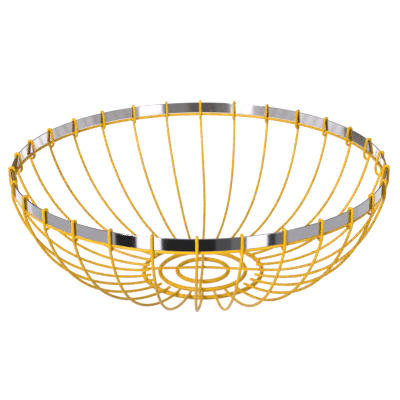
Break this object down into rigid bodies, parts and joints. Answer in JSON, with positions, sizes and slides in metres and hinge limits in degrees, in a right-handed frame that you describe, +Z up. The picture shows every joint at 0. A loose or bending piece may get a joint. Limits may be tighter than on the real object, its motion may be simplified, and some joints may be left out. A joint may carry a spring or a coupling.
{
  "type": "wire basket",
  "caption": "Round open wire bowl basket: bent wire ribs hooked over a flat steel rim hoop and resting on concentric base rings, for fruit or bread.",
  "frame": {"origin": "the middle of the basket on the plane that it stands on, level with the undersides of the base rings", "axes": "+Z up along the basket's own axis, -Y towards the front of the picture, +X to its right"},
  "size_m": [0.3042, 0.3058, 0.1024],
  "materials": {
    "bright_steel": "polished bright steel strip",
    "golden_paint": "glossy golden yellow paint on steel wire"
  },
  "bodies": {
    "root": {"rim_band": "bright_steel", "rim_ring": "golden_paint", "base_ring_inner": "golden_paint", "base_ring_middle": "golden_paint", "base_ring_outer": "golden_paint", "cross_rib_side": "golden_paint", "cross_rib_rear": "golden_paint", "rib_01": "golden_paint", "rib_02": "golden_paint", "rib_03": "golden_paint", "rib_04": "golden_paint", "rib_05": "golden_paint", "rib_06": "golden_paint", "rib_07": "golden_paint", "rib_08": "golden_paint", "rib_09": "golden_paint", "rib_10": "golden_paint", "rib_11": "golden_paint", "rib_12": "golden_paint", "rib_13": "golden_paint", "rib_14": "golden_paint", "rib_15": "golden_paint", "rib_16": "golden_paint", "rib_17": "golden_paint", "rib_18": "golden_paint", "rib_19": "golden_paint", "rib_20": "golden_paint", "rib_21": "golden_paint", "rib_22": "golden_paint", "rib_23": "golden_paint", "rib_24": "golden_paint", "rib_25": "golden_paint", "rib_26": "golden_paint", "rib_27": "golden_paint", "rib_28": "golden_paint"}
  },
  "joints": []
}
